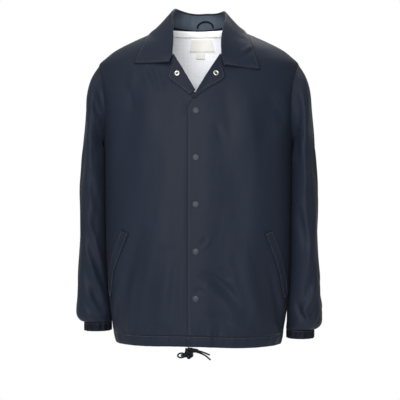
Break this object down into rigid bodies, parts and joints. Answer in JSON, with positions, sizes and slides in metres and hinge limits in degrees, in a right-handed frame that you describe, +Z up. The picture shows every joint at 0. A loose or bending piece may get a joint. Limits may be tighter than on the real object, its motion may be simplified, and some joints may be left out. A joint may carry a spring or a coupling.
{
  "type": "coach jacket",
  "caption": "Nylon coach jacket held in its worn form, with an open fold-down collar, snap front, slanted welt pockets, gathered cuffs and a drawcord hem.",
  "frame": {"origin": "midway between the two high shoulder points, where the wearer's neck and shoulders hold the jacket up", "axes": "+Z up the wearer's body, the jacket's front faces -Y, +X is the wearer's left"},
  "size_m": [0.58, 0.3004, 0.815],
  "materials": {
    "shell": "smooth navy nylon with a soft sheen",
    "lining": "matt white cotton",
    "label": "off-white woven tape",
    "snap_cap": "satin navy enamel",
    "snap_ring": "polished nickel plate",
    "cord": "matt black-navy braid"
  },
  "bodies": {
    "root": {"front_left": "shell", "front_right": "shell", "back": "shell", "sleeve_left": "shell", "sleeve_right": "shell", "cuff_left": "shell", "cuff_right": "shell", "collar_stand": "shell", "collar_leaf": "shell", "lapel_left": "shell", "lapel_right": "shell", "hem_casing_left": "shell", "hem_casing_right": "shell", "hem_casing_back": "shell", "pocket_welt_left": "shell", "pocket_welt_right": "shell", "back_lining": "lining", "neck_tape": "lining", "label": "label", "size_tab": "label", "snap_cap_1": "snap_cap", "snap_cap_2": "snap_cap", "snap_cap_3": "snap_cap", "snap_cap_4": "snap_cap", "snap_cap_5": "snap_cap", "snap_socket": "snap_ring", "snap_stud": "snap_ring", "hanger_loop": "cord", "drawcord_knot": "cord", "drawcord_bow": "cord", "drawcord_end_lower": "cord", "drawcord_end_upper": "cord"}
  },
  "joints": []
}
